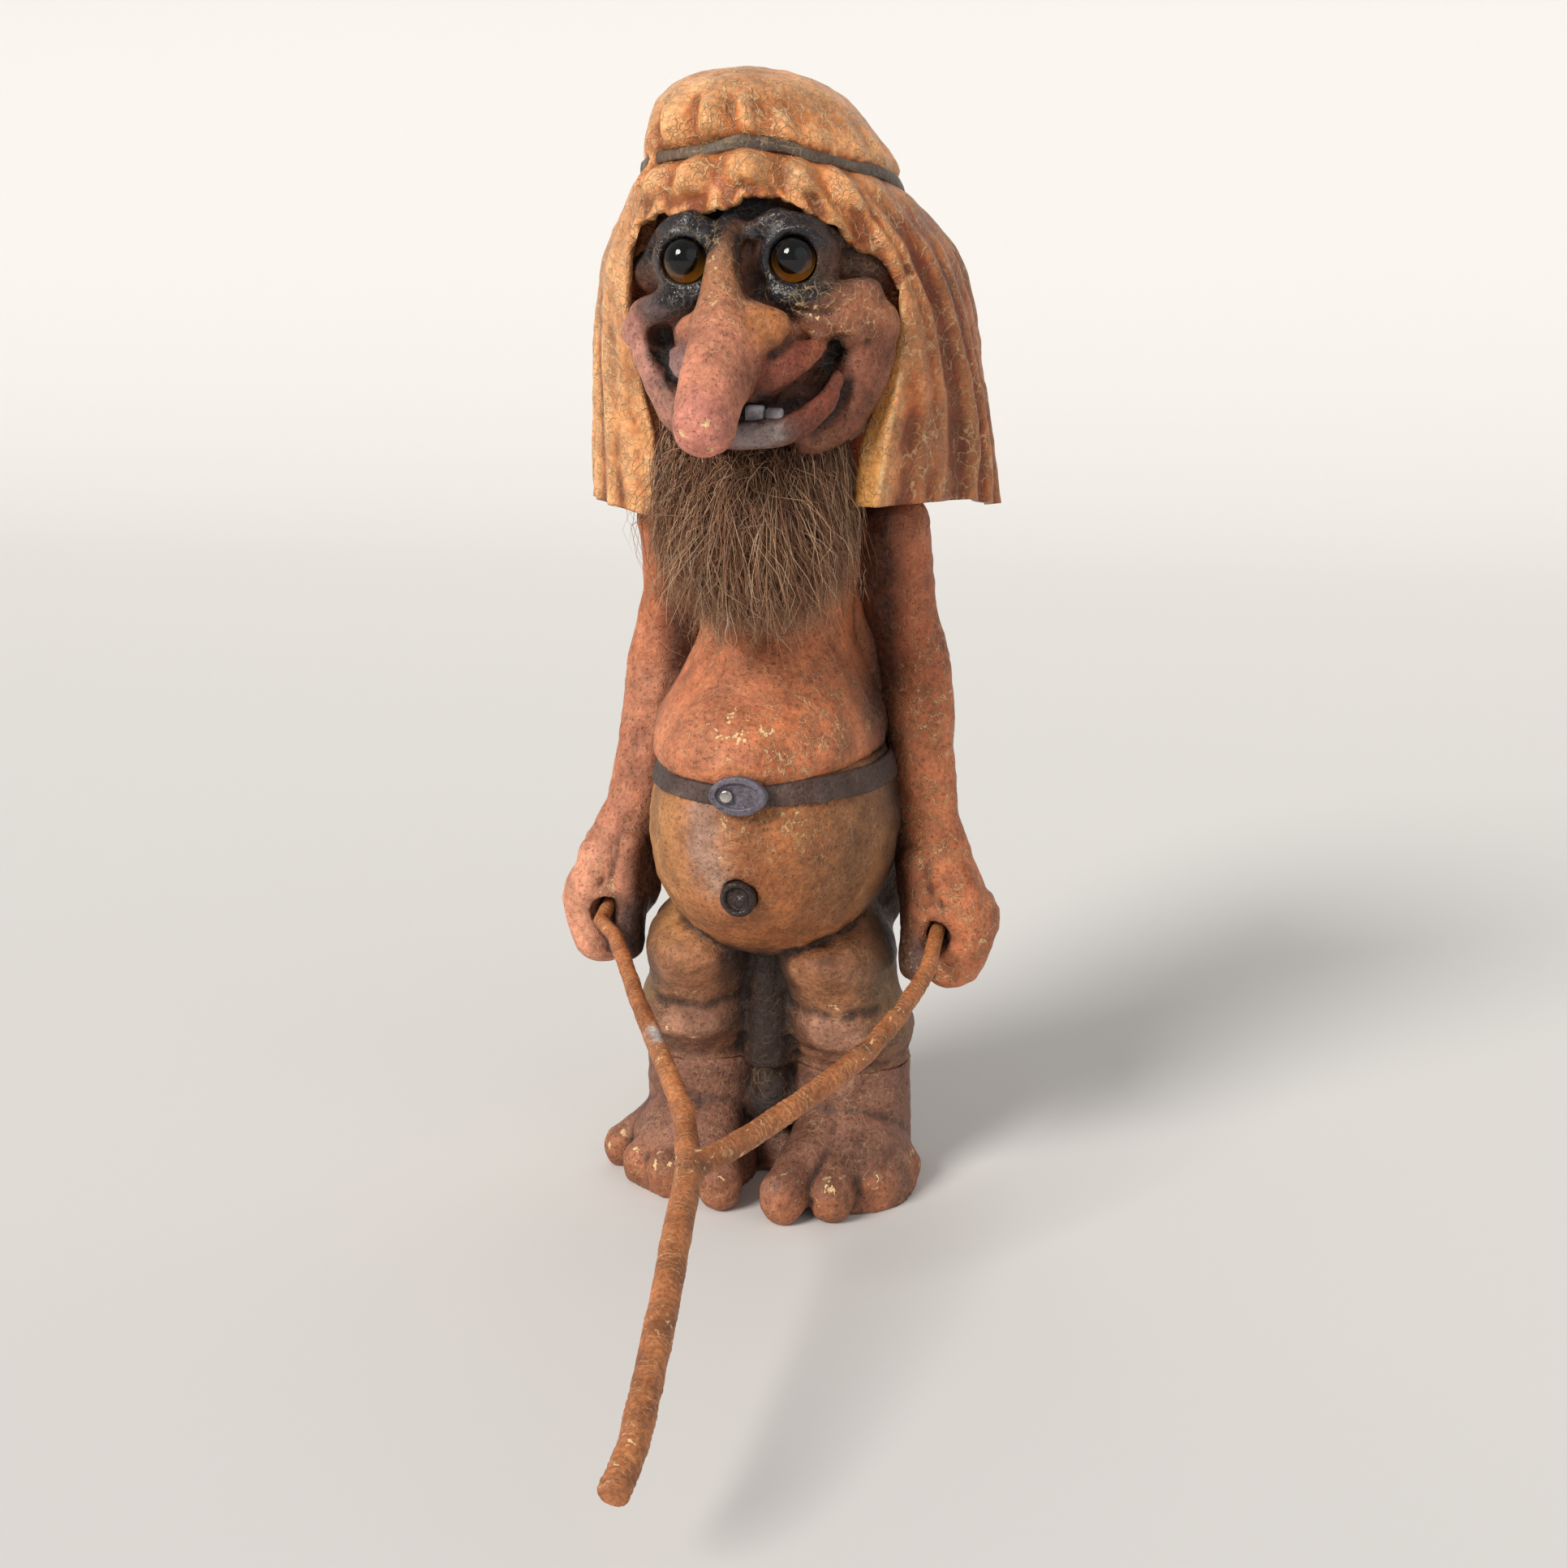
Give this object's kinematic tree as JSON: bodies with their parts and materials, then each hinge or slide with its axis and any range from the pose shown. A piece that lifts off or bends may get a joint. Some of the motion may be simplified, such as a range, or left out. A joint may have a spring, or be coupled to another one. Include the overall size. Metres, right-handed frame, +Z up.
{
  "type": "troll figure",
  "caption": "Standing troll figure with a long nose, cloth hood, fur beard and glass eyes; a forked twig draws out of sockets in its hands.",
  "frame": {"origin": "on the flat underside of the feet, between the two feet", "axes": "+Z up, the figure faces -Y, +X is the viewer's right when looking at its face"},
  "size_m": [0.1163, 0.2337, 0.2782],
  "materials": {
    "painted_skin": "painted, antiqued and crackled",
    "tooth": "satin",
    "hood_cloth": "stiffened cloth, painted and crackled",
    "dark_leather": "dull",
    "fur": "long fur",
    "hide": "raw",
    "dark_metal": "dull",
    "bright_metal": "polished",
    "knob": "dull",
    "bark": "stained bark",
    "dowel": "plain",
    "eye_glass": "polished",
    "pupil": "gloss",
    "amber": "gloss",
    "wire": "plain"
  },
  "bodies": {
    "figure": {"beard_fur": "fur", "beard_hide": "hide", "belt_strap": "dark_leather", "buckle_plate": "dark_metal", "buckle_stud": "bright_metal", "chest_casting": "painted_skin", "feet_casting": "painted_skin", "head_casting": "painted_skin", "hood_band": "dark_leather", "hood_shell": "hood_cloth", "left_arm": "painted_skin", "left_eye_glass": "eye_glass", "left_eye_wire": "wire", "left_iris": "amber", "left_leg_dowel": "dowel", "left_pupil": "pupil", "left_shoulder_peg": "dowel", "lower_body": "painted_skin", "lower_teeth": "tooth", "navel_knob": "knob", "neck_dowel": "dowel", "right_arm": "painted_skin", "right_eye_glass": "eye_glass", "right_eye_wire": "wire", "right_iris": "amber", "right_leg_dowel": "dowel", "right_pupil": "pupil", "right_shoulder_peg": "dowel", "waist_dowel": "dowel"},
    "twig": {"forked_twig": "bark"}
  },
  "joints": [
    {"name": "twig_draw", "type": "slide", "parent": "figure", "child": "twig", "axis": [0, -0.9613, -0.2756], "range_m": [0, 0.03]}
  ]
}
